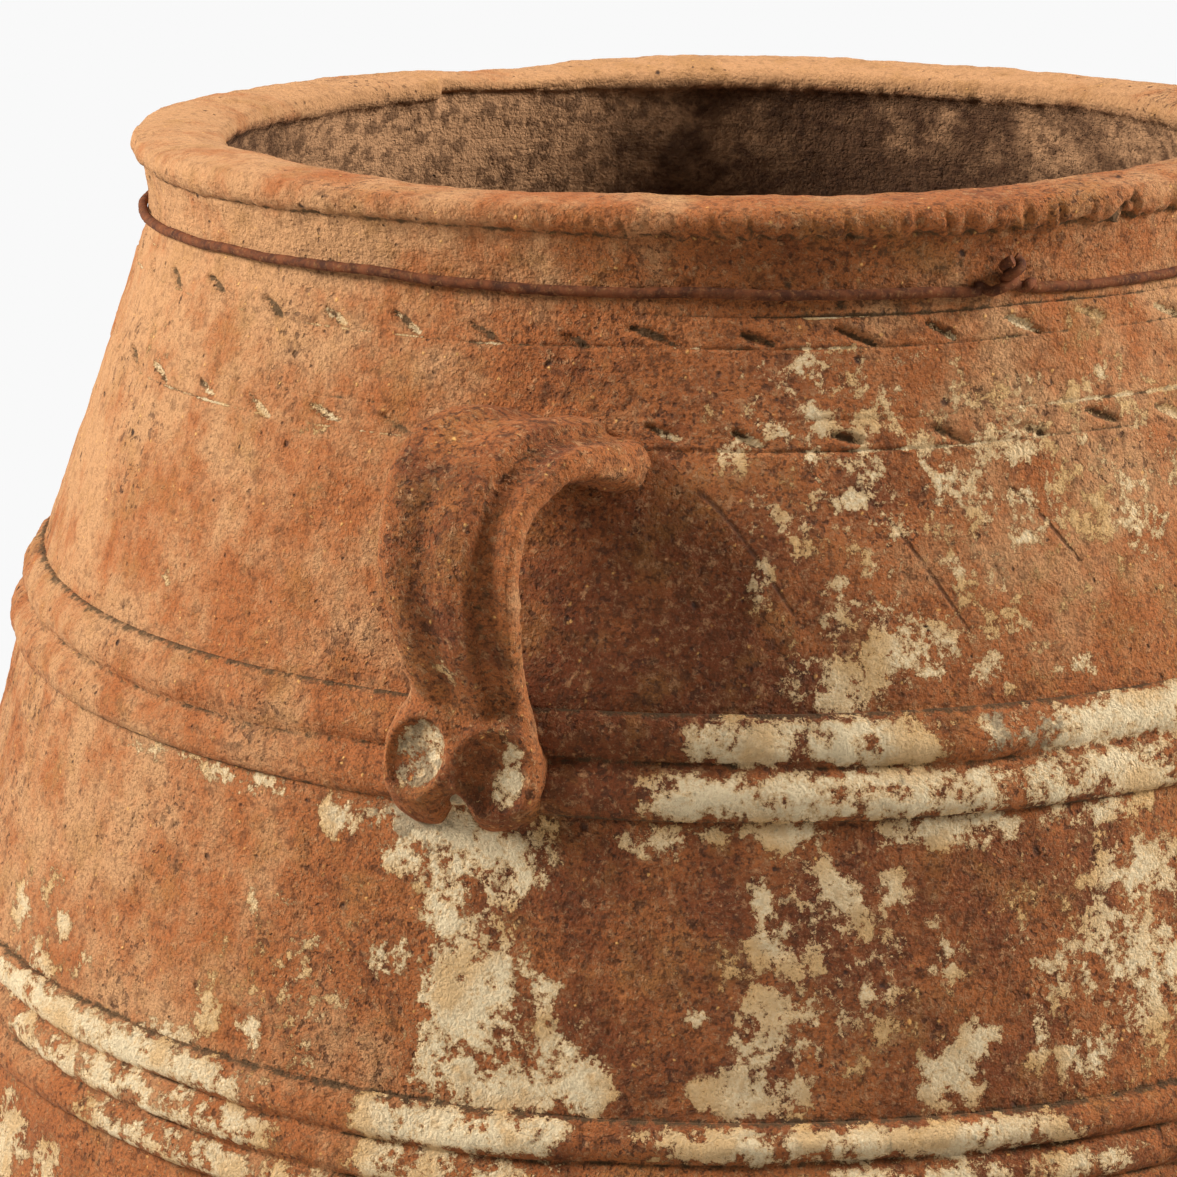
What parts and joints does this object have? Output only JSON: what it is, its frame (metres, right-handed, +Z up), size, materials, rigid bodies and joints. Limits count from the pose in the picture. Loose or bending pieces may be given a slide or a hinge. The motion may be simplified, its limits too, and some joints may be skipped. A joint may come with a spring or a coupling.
{
  "type": "storage jar",
  "caption": "Tall round-bellied terracotta pithos with a thick rim, raised bands, incised friezes, strap handles and an iron wire tied round its neck.",
  "frame": {"origin": "on the ground under the middle of the flat base", "axes": "+Z up along the axis of the jar, the front handle at -Y, +X to the right as seen from the front"},
  "size_m": [0.7222, 0.7222, 0.9999],
  "materials": {
    "terracotta": "unglazed fired clay, weathered, with worn patches of pale lime",
    "rusted_iron": "drawn iron wire with a brown rust skin"
  },
  "bodies": {
    "root": {"base_disc": "terracotta", "foot_wall": "terracotta", "lower_wall": "terracotta", "belly_wall": "terracotta", "upper_belly_wall": "terracotta", "shoulder_wall": "terracotta", "rim": "terracotta", "lower_band": "terracotta", "belly_band": "terracotta", "upper_belly_band": "terracotta", "shoulder_band": "terracotta", "handle_front": "terracotta", "handle_rear_right": "terracotta", "handle_rear_left": "terracotta", "neck_wire": "rusted_iron"}
  },
  "joints": []
}
